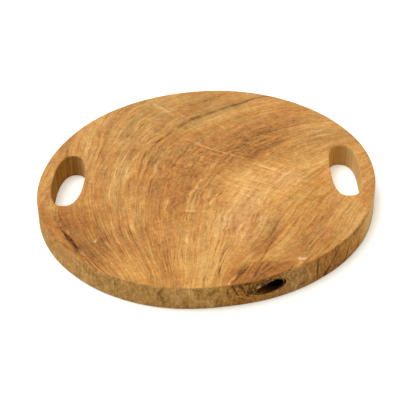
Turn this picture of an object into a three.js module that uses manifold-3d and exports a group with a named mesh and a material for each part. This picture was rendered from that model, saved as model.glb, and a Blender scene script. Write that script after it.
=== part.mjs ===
// A round serving board sawn from one slab of teak. A hand slot goes through it at each side, a dead
// knot with a rotted heart shows in its front edge, and two slivers of grown-in bark lie in its top.
// Millimetres, +Z up. The origin is on the underside, below the middle of the outline.
// +X runs from the left hand slot to the right one, and -Y is the front, where the knot shows.

import * as THREE from "three";
import { mergeVertices, toCreasedNormals } from "three/addons/utils/BufferGeometryUtils.js";
import Module from "manifold-3d";

const { degToRad, smoothstep } = THREE.MathUtils;

// Outline of the slab: a circle sawn by eye, so it is a little longer one way and slightly lobed.
// Every bearing is measured in plan, from +X towards +Y.
const LONG_DIAMETER = 362.9;
const SHORT_DIAMETER = 338.2;
const LONG_BEARING = degToRad(40.8);
const LOBES = [
  { count: 3, height: 0.9, bearing: degToRad(-8) },
  { count: 6, height: 0.4, bearing: degToRad(15) },
];
const THICKNESS = 26.5;
// At the front right the saw leaned, and the side spreads out towards its foot.
const SPREAD = {
  reach: 2.9, // of the foot past the top edge
  from: degToRad(-88),
  full: degToRad(-62),
  fullTo: degToRad(-28),
  to: degToRad(2),
};
const EDGE_EASE = 1.5; // radius sanded on every edge, those of the hand slots too

// Hand slots. The bar is the wood left between a slot and the rim. A squareness of 2 would make the
// slot an ellipse, and more squares its ends up. The lean turns its length away from +Y.
const LEFT_SLOT = {
  bearing: degToRad(181.5),
  bar: 14.4,
  length: 88,
  width: 32.5,
  squareness: 2.4,
  lean: degToRad(-2.6),
};
const RIGHT_SLOT = {
  bearing: degToRad(5.9),
  bar: 15.4,
  length: 90,
  width: 31.2,
  squareness: 2.7,
  lean: degToRad(1),
};

// Dead knot: the stub of a branch that runs in from the rim, a little above half the thickness. Its
// heart has rotted away up to one side, where only a thin rim of it is left.
const KNOT_BEARING = degToRad(-70.5);
const KNOT_LIFT = 2.5; // from half the thickness up to the middle of the knot
const KNOT_WIDTH = 42;
const KNOT_HEIGHT = 16.2;
const KNOT_DEPTH = 34;
const HOLLOW_WIDTH = 30;
const HOLLOW_DEPTH = 24;
const KNOT_RIM = 1.4; // wood left round the hollow

// Slivers of grown-in bark in the top face: thin lenses set in from the rim. The lean turns a sliver
// away from the line of the rim.
const BARK_POCKET = {
  bearing: degToRad(216.5),
  inset: 13,
  lean: degToRad(-4.3),
  length: 42,
  width: 5,
  depth: 5,
};
const FRONT_BARK_SEAM = {
  bearing: degToRad(-78),
  inset: 13.1,
  lean: degToRad(45),
  length: 27,
  width: 1.8,
  depth: 2.5,
};

const INCLUSION_GAP = 0.3; // all round the knot and the bark, which have shrunk away from the teak
const BARK_SINK = 0.2; // the bark dries a little below the top face

// How finely the curves are drawn
const RIM_SIDES = 144;
const SLOT_SIDES = 48;
const BARK_ARC_SIDES = 10;
const EASE_STEPS = 3;
const KNOT_SIDES = 32;
const CREASE = degToRad(35); // sharper edges than this stay crisp when shaded

const TEAK = new THREE.MeshStandardMaterial({ color: "#c8934f", roughness: 0.6, metalness: 0 });
const KNOT_WOOD = new THREE.MeshStandardMaterial({ color: "#5a3a1c", roughness: 0.85, metalness: 0 });
const BARK = new THREE.MeshStandardMaterial({ color: "#4a2c18", roughness: 0.9, metalness: 0 });

const wasm = await Module();
wasm.setup();

// Solids

function solidFrom(geometry) {
  const bare = new THREE.BufferGeometry();
  bare.setAttribute("position", geometry.getAttribute("position"));
  bare.setIndex(geometry.index);
  const merged = mergeVertices(bare);
  return new wasm.Manifold(
    new wasm.Mesh({
      numProp: 3,
      vertProperties: new Float32Array(merged.getAttribute("position").array),
      triVerts: new Uint32Array(merged.index.array),
    }),
  );
}

function geometryFrom(solid) {
  const { vertProperties, triVerts } = solid.getMesh();
  const geometry = new THREE.BufferGeometry();
  geometry.setAttribute("position", new THREE.BufferAttribute(vertProperties, 3));
  geometry.setIndex(new THREE.BufferAttribute(triVerts, 1));
  return toCreasedNormals(geometry, CREASE);
}

function namedMesh(name, geometry, material) {
  const mesh = new THREE.Mesh(geometry, material);
  mesh.name = name;
  return mesh;
}

// Outline in plan

function rimRadius(bearing) {
  const mean = (LONG_DIAMETER + SHORT_DIAMETER) / 4;
  const stretch = (LONG_DIAMETER - SHORT_DIAMETER) / 4;
  let radius = mean + stretch * Math.cos(2 * (bearing - LONG_BEARING));
  for (const lobe of LOBES) {
    radius += lobe.height * Math.cos(lobe.count * (bearing - lobe.bearing));
  }
  return radius;
}

// How far the foot of the side reaches past its top edge. The bearing runs from -180 to 180 degrees.
function footSpread(bearing) {
  const rising = smoothstep(bearing, SPREAD.from, SPREAD.full);
  const falling = 1 - smoothstep(bearing, SPREAD.fullTo, SPREAD.to);
  return SPREAD.reach * rising * falling;
}

function polar(bearing, radius) {
  return new THREE.Vector2(radius * Math.cos(bearing), radius * Math.sin(bearing));
}

function closedRing(sides, pointAt) {
  return Array.from({ length: sides }, (_, side) => pointAt((side / sides) * 2 * Math.PI - Math.PI));
}

const sawnRim = closedRing(RIM_SIDES, (bearing) => polar(bearing, rimRadius(bearing)));
const sawnFoot = closedRing(RIM_SIDES, (bearing) => polar(bearing, rimRadius(bearing) + footSpread(bearing)));
const sawnBox = new THREE.Box2().setFromPoints([...sawnRim, ...sawnFoot]);
const rimMiddle = sawnBox.getCenter(new THREE.Vector2());
const rimOutline = sawnRim.map((point) => point.clone().sub(rimMiddle));

// A place in plan, set in from the rim along a bearing
function inFromRim(bearing, inset) {
  return polar(bearing, rimRadius(bearing) - inset).sub(rimMiddle);
}

// Hand slots

function signedPower(value, power) {
  return Math.sign(value) * Math.abs(value) ** power;
}

function slotOutline({ bearing, bar, length, width, squareness, lean }) {
  const centre = inFromRim(bearing, bar + width / 2);
  const origin = new THREE.Vector2();
  return closedRing(SLOT_SIDES, (turn) => {
    const across = (width / 2) * signedPower(Math.cos(turn), 2 / squareness);
    const along = (length / 2) * signedPower(Math.sin(turn), 2 / squareness);
    return new THREE.Vector2(across, along).rotateAround(origin, lean).add(centre);
  });
}

// Moves the points of the rim outwards, the more the nearer they are to the foot
function spreadFoot(geometry) {
  const position = geometry.getAttribute("position");
  for (let index = 0; index < position.count; index += 1) {
    const point = new THREE.Vector2(position.getX(index), position.getY(index)).add(rimMiddle);
    const bearing = Math.atan2(point.y, point.x);
    if (point.length() > rimRadius(bearing) - 2 * EDGE_EASE) {
      const depth = 1 - position.getZ(index) / THICKNESS;
      const moved = polar(bearing, point.length() + footSpread(bearing) * depth).sub(rimMiddle);
      position.setXY(index, moved.x, moved.y);
    }
  }
}

// The sawn and sanded board, before anything in it is let in
function sandedBoard() {
  const shape = new THREE.Shape(rimOutline);
  shape.holes = [LEFT_SLOT, RIGHT_SLOT].map((slot) => new THREE.Path(slotOutline(slot)));
  const geometry = new THREE.ExtrudeGeometry(shape, {
    depth: THICKNESS - 2 * EDGE_EASE,
    bevelThickness: EDGE_EASE,
    bevelSize: EDGE_EASE,
    bevelOffset: -EDGE_EASE,
    bevelSegments: EASE_STEPS,
  });
  geometry.translate(0, 0, EDGE_EASE);
  spreadFoot(geometry);
  return solidFrom(geometry);
}

// Dead knot

// An ellipsoid round a point of the rim: its width lies along the rim and its depth runs inwards.
// The shift moves it along the rim.
function rimEllipsoid(width, depth, height, shift) {
  const geometry = new THREE.SphereGeometry(1, KNOT_SIDES, KNOT_SIDES / 2);
  geometry.scale(depth, width / 2, height / 2);
  geometry.translate(0, shift, 0);
  geometry.rotateZ(KNOT_BEARING);
  const mouth = inFromRim(KNOT_BEARING, 0);
  geometry.translate(mouth.x, mouth.y, THICKNESS / 2 + KNOT_LIFT);
  return solidFrom(geometry);
}

function knotStub(board) {
  const shift = KNOT_WIDTH / 2 - KNOT_RIM - HOLLOW_WIDTH / 2;
  const hollow = rimEllipsoid(HOLLOW_WIDTH, HOLLOW_DEPTH, KNOT_HEIGHT - 2 * KNOT_RIM, shift);
  return rimEllipsoid(KNOT_WIDTH, KNOT_DEPTH, KNOT_HEIGHT, 0).intersect(board).subtract(hollow);
}

function knotPocket() {
  const gap = INCLUSION_GAP;
  return rimEllipsoid(KNOT_WIDTH + 2 * gap, KNOT_DEPTH + gap, KNOT_HEIGHT + 2 * gap, 0);
}

// Grown-in bark

// A lens between two equal arcs. Growing both arcs by the same amount keeps an even gap all round.
function lensShape({ length, width }, growth) {
  const arcRadius = (length ** 2 + width ** 2) / (4 * width);
  const arcOffset = arcRadius - width / 2;
  const radius = arcRadius + growth;
  const halfTurn = Math.acos(arcOffset / radius);
  const points = [];
  for (const side of [1, -1]) {
    for (let step = 0; step < BARK_ARC_SIDES; step += 1) {
      const turn = halfTurn * (1 - (2 * step) / BARK_ARC_SIDES);
      const along = side * radius * Math.sin(turn);
      points.push(new THREE.Vector2(along, side * (radius * Math.cos(turn) - arcOffset)));
    }
  }
  return new THREE.Shape(points);
}

function barkSliver(name, spec) {
  const geometry = new THREE.ExtrudeGeometry(lensShape(spec, 0), {
    depth: spec.depth - BARK_SINK,
    bevelEnabled: false,
  });
  const mesh = namedMesh(name, geometry, BARK);
  const middle = inFromRim(spec.bearing, spec.inset);
  mesh.position.set(middle.x, middle.y, THICKNESS - spec.depth);
  mesh.rotation.z = spec.bearing + Math.PI / 2 + spec.lean;
  mesh.updateMatrix();
  return mesh;
}

function barkRecess(spec, sliver) {
  const geometry = new THREE.ExtrudeGeometry(lensShape(spec, INCLUSION_GAP), {
    depth: spec.depth + EDGE_EASE,
    bevelEnabled: false,
  });
  geometry.translate(0, 0, -INCLUSION_GAP);
  geometry.applyMatrix4(sliver.matrix);
  return solidFrom(geometry);
}

// Assembly

const board = sandedBoard();
const knot = knotStub(board);
const barkPocket = barkSliver("bark_pocket", BARK_POCKET);
const barkSeam = barkSliver("front_bark_seam", FRONT_BARK_SEAM);
const slab = board
  .subtract(knotPocket())
  .subtract(barkRecess(BARK_POCKET, barkPocket))
  .subtract(barkRecess(FRONT_BARK_SEAM, barkSeam));

const servingBoard = new THREE.Group();
servingBoard.name = "serving_board";
servingBoard.add(namedMesh("teak_slab", geometryFrom(slab), TEAK));
servingBoard.add(namedMesh("dead_knot", geometryFrom(knot), KNOT_WOOD));
servingBoard.add(barkPocket);
servingBoard.add(barkSeam);

export default servingBoard;
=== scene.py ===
# %% [markdown]
# # A round teak serving board
# The real object is one slab of teak, sawn by eye into a rough circle, with a hand slot at each side and a
# rotted knot in its front edge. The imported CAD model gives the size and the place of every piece. This
# lesson dresses it: the slab is modelled again with hand-sanded edges, and shader nodes draw the figure of
# the wood.

import math

import bmesh
import bpy
import numpy as np
from mathutils import Matrix, Vector, noise


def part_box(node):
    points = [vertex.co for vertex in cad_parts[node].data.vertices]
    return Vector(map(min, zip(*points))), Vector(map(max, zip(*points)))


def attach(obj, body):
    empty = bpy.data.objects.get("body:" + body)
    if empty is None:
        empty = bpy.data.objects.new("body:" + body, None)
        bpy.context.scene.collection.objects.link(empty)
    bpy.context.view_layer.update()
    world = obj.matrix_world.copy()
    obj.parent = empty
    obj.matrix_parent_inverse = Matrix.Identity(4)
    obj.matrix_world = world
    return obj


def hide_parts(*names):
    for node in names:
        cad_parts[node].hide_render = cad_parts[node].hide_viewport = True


MM = 0.001  # Blender counts in metres, and a woodworker in millimetres

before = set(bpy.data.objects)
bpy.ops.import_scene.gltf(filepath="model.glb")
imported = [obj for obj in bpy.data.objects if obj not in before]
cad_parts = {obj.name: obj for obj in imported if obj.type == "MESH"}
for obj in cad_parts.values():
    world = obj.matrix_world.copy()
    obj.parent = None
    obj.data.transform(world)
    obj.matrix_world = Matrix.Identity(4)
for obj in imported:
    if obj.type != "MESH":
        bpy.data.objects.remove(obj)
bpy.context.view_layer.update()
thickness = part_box("teak_slab")[1].z

# %% [markdown]
# ## The camera
# The picture was taken from the front, looking down at a low table with a fairly long lens, so the far edge
# is only a little narrower than the near one. A camera can be placed by eye or worked out from known
# points. Here the outline and the slots gave the angle, the distance and the lens, and the camera looks at
# a point on the top face, which keeps those three numbers apart.

# %% Camera
LOOK_DOWN = math.radians(37.5)
CAMERA_DISTANCE = 1143 * MM
LOOK_AT = Vector((0.3 * MM, -52.3 * MM, thickness))
SENSOR = 36.0
LENS = 97.6

camera_data = bpy.data.cameras.new("camera")
camera_data.sensor_width = SENSOR
camera_data.lens = LENS
camera = bpy.data.objects.new("camera", camera_data)
back = Vector((0.0, -math.cos(LOOK_DOWN), math.sin(LOOK_DOWN)))
camera.location = LOOK_AT + CAMERA_DISTANCE * back
camera.rotation_euler = (math.pi / 2 - LOOK_DOWN, 0.0, 0.0)
bpy.context.scene.collection.objects.link(camera)
bpy.context.scene.camera = camera
print("camera at", tuple(round(v, 3) for v in camera.location))

# %% [markdown]
# ## One function for every shader node
# A material here is a long chain of small nodes. Adding each one by hand takes four lines, so one function
# adds a node, sets its properties, and fills its sockets: a socket that is given another socket is linked,
# and any other value is set. The sockets come in the order in which the node shows them, or with their
# names or numbers, and a colour ramp also takes its stops. The function hands back the output, so that
# calls can be chained. Colours are written the way a paint program shows them, and turned into the linear
# values that light needs.

# %% Node and colour helpers
def linear(hex_colour):
    channels = [int(hex_colour[start : start + 2], 16) / 255 for start in (1, 3, 5)]
    return [c / 12.92 if c <= 0.04045 else ((c + 0.055) / 1.055) ** 2.4 for c in channels] + [1.0]


def add(tree, kind, sockets=(), output=0, stops=(), **settings):
    made = tree.nodes.new("ShaderNode" + kind)
    for name, value in settings.items():
        setattr(made, name, value)
    for name, value in sockets.items() if isinstance(sockets, dict) else enumerate(sockets):
        if isinstance(value, bpy.types.NodeSocket):
            tree.links.new(value, made.inputs[name])
        else:
            made.inputs[name].default_value = value
    if stops:
        elements = made.color_ramp.elements
        while len(elements) < len(stops):
            elements.new(1.0)
        for element, (position, hex_colour) in zip(elements, stops):
            element.position = position
            element.color = linear(hex_colour)
    return made.outputs[output] if made.outputs else None


def empty_tree(owner):
    owner.use_nodes = True
    owner.node_tree.nodes.clear()
    return owner.node_tree


print("mid teak in linear light", [round(v, 3) for v in linear("#c8914f")])

# %% [markdown]
# ## Floor, sky and lamp
# The board lies on a white studio sweep, lit softly from the left and a little from behind. A bright sky
# alone would flatten it, so most light comes from one wide lamp and the sky only fills. The floor of such a
# picture is overexposed: it gets a little light of its own, which only the camera sees, so that all of it
# is white except the shadow close to the board.

# %% Floor
FLOOR_REACH = 6.0
FLOOR_GLOW = 0.36  # light of its own that only the camera sees
GLOW_TINT = "#fdfdea"
FLOOR_BOUNCE = "#f4f4f4"  # what the floor sends back to the board
WHITE = "#ffffff"


def piece_from(shape, name):
    mesh = bpy.data.meshes.new(name)
    shape.to_mesh(mesh)
    shape.free()
    piece = bpy.data.objects.new(name, mesh)
    bpy.context.scene.collection.objects.link(piece)
    return piece


floor_shape = bmesh.new()
bmesh.ops.create_grid(floor_shape, x_segments=1, y_segments=1, size=FLOOR_REACH)
floor = piece_from(floor_shape, "floor")

paper = bpy.data.materials.new("matt_white_paper")
tree = empty_tree(paper)
seen = add(tree, "LightPath", output="Is Camera Ray")
shades = {0: seen, 6: linear(FLOOR_BOUNCE), 7: linear(WHITE)}
shade = add(tree, "Mix", shades, output=2, data_type="RGBA")
matt = add(tree, "BsdfDiffuse", {"Color": shade})
extra = add(tree, "Math", (seen, FLOOR_GLOW), operation="MULTIPLY")
glow = add(tree, "Emission", {"Color": linear(GLOW_TINT), "Strength": extra})
add(tree, "OutputMaterial", {"Surface": add(tree, "AddShader", (matt, glow))})
floor.data.materials.append(paper)
print("floor", FLOOR_REACH * 2, "m across")

# %% Sky and lamp
SKY_FILL = 0.42
SKY_LEFT = 0.2  # how much brighter the left of the sky is than its middle
LAMP_STRENGTH = 2.05
LAMP_SPREAD = math.radians(40)
LAMP_BEARING = math.radians(155)  # from +X towards +Y: left, and a little behind
LAMP_HEIGHT = math.radians(67)

world = bpy.data.worlds.new("studio")
bpy.context.scene.world = world
tree = empty_tree(world)
rays = add(tree, "LightPath").node.outputs
seen = rays["Is Camera Ray"]
for kind in ("Is Glossy Ray", "Is Transmission Ray"):
    seen = add(tree, "Math", (seen, rays[kind]), operation="MAXIMUM")
towards = add(tree, "TexCoord", output="Generated")
rightness = add(tree, "SeparateXYZ", (towards,), output="X")
fill = add(tree, "Math", (rightness, -SKY_LEFT * SKY_FILL, SKY_FILL), operation="MULTIPLY_ADD")
strength = add(tree, "Mix", {0: seen, 2: fill, 3: 1.0}, data_type="FLOAT")
sky = add(tree, "Background", {"Color": linear(WHITE), "Strength": strength})
add(tree, "OutputWorld", {"Surface": sky})

lamp_data = bpy.data.lights.new("wide_lamp", "SUN")
lamp_data.energy = LAMP_STRENGTH
lamp_data.angle = LAMP_SPREAD
lamp = bpy.data.objects.new("wide_lamp", lamp_data)
raised = Vector((math.cos(LAMP_HEIGHT), 0.0, math.sin(LAMP_HEIGHT)))
lamp_from = Matrix.Rotation(LAMP_BEARING, 3, "Z") @ raised
lamp.rotation_euler = lamp_from.to_track_quat("Z", "Y").to_euler()
bpy.context.scene.collection.objects.link(lamp)
bpy.context.scene.view_settings.view_transform = "Standard"
print("lamp shines from", tuple(round(v, 2) for v in lamp_from))

# %% [markdown]
# ## The outline of the slab
# Nobody drew this circle with compasses. It is a little longer one way than the other and slightly lobed.
# One formula gives the radius at any bearing, with the same driving sizes as the CAD model, so the dressed
# slab lands on it. At the front right the saw leaned, and the side spreads out towards its foot. The CAD
# origin is the middle of the outline's box, so that middle is taken off.

# %% Outline
LONG_DIAMETER = 362.9 * MM
SHORT_DIAMETER = 338.2 * MM
LONG_BEARING = math.radians(40.8)
LOBES = ((3, 0.9 * MM, math.radians(-8)), (6, 0.4 * MM, math.radians(15)))  # count, height and bearing
SPREAD = 2.9 * MM  # how far the foot reaches past the top edge at the front right
SPREAD_BEARINGS = [math.radians(turn) for turn in (-88, -62, -28, 2)]  # starts, is full, is full to, ends
RIM_SIDES = 432


def rim_radius(bearing):
    mean = (LONG_DIAMETER + SHORT_DIAMETER) / 4
    stretch = (LONG_DIAMETER - SHORT_DIAMETER) / 4
    lobes = sum(height * math.cos(count * (bearing - start)) for count, height, start in LOBES)
    return mean + stretch * math.cos(2 * (bearing - LONG_BEARING)) + lobes


def smooth_step(value, start, end):
    share = min(max((value - start) / (end - start), 0.0), 1.0)
    return share * share * (3 - 2 * share)


def foot_spread(bearing):
    start, full, full_to, end = SPREAD_BEARINGS
    return SPREAD * smooth_step(bearing, start, full) * (1 - smooth_step(bearing, full_to, end))


def polar(bearing, radius):
    return Vector((radius * math.cos(bearing), radius * math.sin(bearing), 0.0))


turns = np.linspace(-math.pi, math.pi, RIM_SIDES, endpoint=False)
sawn = [polar(turn, rim_radius(turn)) for turn in turns]
sawn += [polar(turn, rim_radius(turn) + foot_spread(turn)) for turn in turns]
rim_middle = Vector((0.0, 0.0, 0.0))
for axis in (0, 1):
    places = [point[axis] for point in sawn]
    rim_middle[axis] = (min(places) + max(places)) / 2


def in_from_rim(bearing, inset):
    return polar(bearing, rim_radius(bearing) - inset) - rim_middle


print("middle of the sawn outline", tuple(round(v / MM, 3) for v in rim_middle), "mm")

# %% [markdown]
# ## Walls in rings
# Everything upright on the board is a wall that follows a closed line: the rim, the two hand slots and the
# pockets of the bark. A wall could be a bevelled extrusion, but here the sanded edge gets rounder towards
# the front left, which one bevel width can't give. So a circle is extruded ring by ring, and each ring is
# put where a placing function says. Each vertex remembers its turn round the circle in a layer of its own.

# %% Ring by ring
def wall(shape, sides, levels, place):
    turn_layer = shape.verts.layers.float.get("turn") or shape.verts.layers.float.new("turn")
    ring = bmesh.ops.create_circle(shape, segments=sides, radius=1.0)["verts"]
    for vert in ring:
        vert[turn_layer] = math.atan2(vert.co.y, vert.co.x)
    edges = list({edge for vert in ring for edge in vert.link_edges})
    first_edges = edges
    for number, level in enumerate(levels):
        if number > 0:
            grown = bmesh.ops.extrude_edge_only(shape, edges=edges)["geom"]
            ring = [part for part in grown if isinstance(part, bmesh.types.BMVert)]
            corners = set(ring)
            edges = [part for part in grown if isinstance(part, bmesh.types.BMEdge)]
            edges = [edge for edge in edges if corners.issuperset(edge.verts)]
        for vert in ring:
            vert.co = place(vert[turn_layer], level)
    return first_edges, edges


# A level is (inset, lift, share). The inset and the lift count in widths of the sanded edge, and the share
# is of the board's thickness.
EDGE_STEPS = 5
SIDE_STEPS = 6
FLAT_RING = 2.2  # inset of the flat ring that a wall starts and ends with
quarter_turns = np.linspace(0, math.pi / 2, EDGE_STEPS + 1)
rounding = [(1 - math.sin(turn), 1 - math.cos(turn)) for turn in quarter_turns]
wall_levels = [(FLAT_RING, 0.0, 0.0)]
wall_levels += [(inset, lift, 0.0) for inset, lift in rounding]
wall_levels += [(0.0, 1 - 2 * step / SIDE_STEPS, step / SIDE_STEPS) for step in range(1, SIDE_STEPS)]
wall_levels += [(inset, -lift, 1.0) for inset, lift in reversed(rounding)]
wall_levels += [(FLAT_RING, 0.0, 1.0)]
print(len(wall_levels), "rings to a wall")

# %% [markdown]
# ## The rim and the hand slots
# The rim is crisp nearly all round, and rubbed round at the front left, where a hand would take the board.
# Its side isn't a true cylinder: sanding left long shallow flats. Those are real shape, so they are moved
# vertices and not bump. They only ever go inwards, which keeps the slab inside the CAD box. The slots were
# drilled and sawn out by eye, so each is a squarish oval with its own lean, and the saw slanted a little in
# the left one.

# %% Rim
CRISP_EDGE = 1.3 * MM
RUBBED_EDGE = 2.3 * MM
RUBBED_BEARING = math.radians(216)
RUBBED_SPREAD = math.radians(34)
FLAT_DEPTH = 0.45 * MM
FLATS_ROUND = 6.0  # how closely the flats follow each other round the rim
FLAT_TALL = 40 * MM


def edge_width(bearing):
    away = (bearing - RUBBED_BEARING + math.pi) % (2 * math.pi) - math.pi
    return CRISP_EDGE + (RUBBED_EDGE - CRISP_EDGE) * math.exp(-((away / RUBBED_SPREAD) ** 2))


def rim_place(bearing, level):
    inset, lift, share = level
    edge = edge_width(bearing)
    height = lift * edge + share * thickness
    spot = polar(bearing, FLATS_ROUND)
    spot.z = height / FLAT_TALL
    flat = FLAT_DEPTH * (0.5 + 0.5 * noise.noise(spot))
    spread = foot_spread(bearing) * (1 - height / thickness)
    point = in_from_rim(bearing, inset * edge + flat - spread)
    point.z = height
    return point


slab_shape = bmesh.new()
rim_foot, rim_head = wall(slab_shape, RIM_SIDES, wall_levels, rim_place)
print("rim", len(slab_shape.verts), "vertices")

# %% Hand slots
SLOT_EDGE = 1.5 * MM
SLOT_SIDES = 96
LEFT_SLOT = dict(
    bearing=math.radians(181.5), bar=14.4 * MM, length=88 * MM, width=32.5 * MM,
    squareness=2.4, lean=math.radians(-2.6), slant=1.2 * MM,
)
RIGHT_SLOT = dict(
    bearing=math.radians(5.9), bar=15.4 * MM, length=90 * MM, width=31.2 * MM,
    squareness=2.7, lean=math.radians(1), slant=0.0,
)


def signed_power(value, power):
    return math.copysign(abs(value) ** power, value)


def slot_wall(slot):
    middle = in_from_rim(slot["bearing"], slot["bar"] + slot["width"] / 2)
    lean = Matrix.Rotation(slot["lean"], 3, "Z")
    power = 2 / slot["squareness"]

    def place(turn, level):
        inset, lift, share = level
        flare = inset * SLOT_EDGE
        across = (slot["width"] / 2 + flare) * signed_power(math.cos(turn), power)
        along = (slot["length"] / 2 + flare) * signed_power(math.sin(turn), power)
        point = middle + lean @ Vector((across, along, 0.0))
        point.z = lift * SLOT_EDGE + share * thickness
        point.x += slot["slant"] * (1 - point.z / thickness)
        return point

    return wall(slab_shape, SLOT_SIDES, wall_levels, place)


left_foot, left_head = slot_wall(LEFT_SLOT)
right_foot, right_head = slot_wall(RIGHT_SLOT)
print("rim and slots", len(slab_shape.verts), "vertices")

# %% [markdown]
# ## Pockets of the grown-in bark
# Where the tree closed over a wound it swallowed slivers of bark. Each lies in a shallow pocket in the top
# face with a ragged edge. The pocket is one more wall, blind at the bottom, and the sliver that fills it
# later uses the same ragged outline a little smaller, so the two always fit.

# %% Bark pockets
BARK_SIDES = 96
BARK_POCKET = dict(
    node="bark_pocket", bearing=math.radians(216.5), inset=13 * MM, lean=math.radians(-4.3),
    length=42 * MM, width=5 * MM, depth=5 * MM, tail=0.25,
)
FRONT_BARK_SEAM = dict(
    node="front_bark_seam", bearing=math.radians(-78), inset=13.1 * MM, lean=math.radians(45),
    length=27 * MM, width=1.8 * MM, depth=2.5 * MM, tail=0.8,
)
BARK_GAP = 0.12 * MM
FINE_ENDS = 0.2  # nought would be an ellipse, and more makes the ends finer
TAIL_END = -0.3  # where the thin tail swells, in half lengths from the middle
TAIL_STEEPNESS = 9.0
RAGGED = 0.25  # share of the width that the ragged edge may lose
BITES = (11.0, 2.0)  # how closely its bites follow each other, along and across
BITE_CALM = 0.8  # how much weaker the finer bites are
OCTAVES = 3
FINER = 2.0  # from octave to octave


def uneven(spot, calm=1.0):
    return 0.5 + 0.5 * noise.fractal(spot, calm, FINER, OCTAVES)


def along_bark(bark):
    return Matrix.Rotation(bark["bearing"] + math.pi / 2 + bark["lean"], 3, "Z")


def bark_point(bark, turn, growth, height):
    along = math.cos(turn)
    swelling = 1 / (1 + math.exp(-TAIL_STEEPNESS * (along - TAIL_END)))
    lens = math.sin(turn) * abs(math.sin(turn)) ** FINE_ENDS
    lens *= bark["tail"] + (1 - bark["tail"]) * swelling
    bite = RAGGED * uneven(Vector((BITES[0] * along, BITES[1] * lens, bark["length"] / MM)), BITE_CALM)
    across = lens * (1 - bite) * (bark["width"] / 2 - BARK_GAP) + math.copysign(growth, lens)
    local = Vector((along * (bark["length"] / 2 - BARK_GAP + growth), across, 0.0))
    point = in_from_rim(bark["bearing"], bark["inset"]) + along_bark(bark) @ local
    point.z = height
    return point


def bark_wall(shape, bark, growth, heights):
    return wall(shape, BARK_SIDES, heights, lambda turn, height: bark_point(bark, turn, growth, height))


def bark_hole(bark):
    return bark_wall(slab_shape, bark, BARK_GAP, (thickness - bark["depth"] - BARK_GAP, thickness))


pocket_foot, pocket_head = bark_hole(BARK_POCKET)
seam_foot, seam_head = bark_hole(FRONT_BARK_SEAM)
print("with bark pockets", len(slab_shape.verts), "vertices")

# %% [markdown]
# ## Closing the slab
# The top and the underside are flat faces with holes in them. Triangle fill takes the loops of all the
# walls at once and leaves the holes open. The narrow flat ring that the rim and the slots end with keeps
# the shading of the rounded edges off those big flat triangles.

# %% Fill the flat faces
def close(shape, *faces):
    for loops in faces:
        bmesh.ops.triangle_fill(shape, use_beauty=True, edges=loops)
    bmesh.ops.recalc_face_normals(shape, faces=shape.faces)


top = rim_head + left_head + right_head + pocket_head + seam_head
underside = rim_foot + left_foot + right_foot
close(slab_shape, top, underside, pocket_foot, seam_foot)
open_edges = [edge for edge in slab_shape.edges if not edge.is_manifold]
print("slab", len(slab_shape.faces), "faces,", len(open_edges), "open edges")

# %% [markdown]
# ## The dead knot
# The stub of a branch died and the tree grew round it without joining, so the knot is a plug of its own
# wood. Its heart rotted away: the dark hole goes in deep at the upper right and slopes up at the lower
# left. The plug is a lump cut to the board's own side, with two rotted lumps taken out. A voxel remesh then
# rounds every edge by about the size of a voxel, as rot and sanding do, which no bevel would follow round
# so ragged a mouth.

# %% Lumps on the rim
KNOT_BEARING = math.radians(-70.5)
KNOT_LIFT = 2.5 * MM  # from half the thickness up to the middle of the knot
KNOT = dict(width=42 * MM, depth=34 * MM, height=16.2 * MM, shift=0.0, rise=0.0, dents=0.06)
DENT_SIZE = 1 / 2.2  # of the lump's half width
LUMP_FINENESS = 5

mouth_point = in_from_rim(KNOT_BEARING, 0.0)


def rim_lump(name, lump):
    shape = bmesh.new()
    bmesh.ops.create_icosphere(shape, subdivisions=LUMP_FINENESS, radius=1.0)
    for vert in shape.verts:
        vert.co *= 1 - lump["dents"] * uneven(vert.co / DENT_SIZE)
    size = (lump["depth"], lump["width"] / 2, lump["height"] / 2)
    bmesh.ops.scale(shape, vec=size, verts=shape.verts)
    bmesh.ops.translate(shape, vec=(0.0, lump["shift"], lump["rise"]), verts=shape.verts)
    bmesh.ops.rotate(shape, matrix=Matrix.Rotation(KNOT_BEARING, 3, "Z"), verts=shape.verts)
    middle = (mouth_point.x, mouth_point.y, thickness / 2 + KNOT_LIFT)
    bmesh.ops.translate(shape, vec=middle, verts=shape.verts)
    return piece_from(shape, name)


def settle(piece):
    graph = bpy.context.evaluated_depsgraph_get()
    settled = bpy.data.meshes.new_from_object(piece.evaluated_get(graph))
    piece.modifiers.clear()
    piece.data = settled


def cut(piece, cutter, operation):
    modifier = piece.modifiers.new("cut", "BOOLEAN")
    modifier.operation = operation
    modifier.solver = "EXACT"
    modifier.object = cutter
    settle(piece)


slab = piece_from(slab_shape, "teak_slab_dressed")
knot = rim_lump("dead_knot_dressed", KNOT)
socket = rim_lump("knot_socket", KNOT)
cut(knot, slab, "INTERSECT")
cut(slab, socket, "DIFFERENCE")
bpy.data.objects.remove(socket)
print("knot plug", len(knot.data.polygons), "faces; slab", len(slab.data.polygons), "faces")

# %% Rotted heart
DEEP_ROT = dict(
    width=21 * MM, depth=26 * MM, height=12.8 * MM, shift=8.2 * MM, rise=-0.4 * MM, dents=0.2,
)
SHALLOW_ROT = dict(
    width=30 * MM, depth=9 * MM, height=10.6 * MM, shift=2.8 * MM, rise=-2.3 * MM, dents=0.2,
)
KNOT_VOXEL = 0.4 * MM


def even_faces(piece, voxel):
    modifier = piece.modifiers.new("even_faces", "REMESH")
    modifier.mode = "VOXEL"
    modifier.voxel_size = voxel
    settle(piece)


for rot in (DEEP_ROT, SHALLOW_ROT):
    rotted = rim_lump("rot", rot)
    cut(knot, rotted, "DIFFERENCE")
    bpy.data.objects.remove(rotted)
even_faces(knot, KNOT_VOXEL)
print("knot", len(knot.data.polygons), "faces after remeshing")

# %% Rough the rot
ROT_RELIEF = 0.35 * MM
ROT_GRAIN = 2.2 * MM
SMOOTH_MOUTH = 4 * MM  # the depth at which the rot is fully rough

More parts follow.
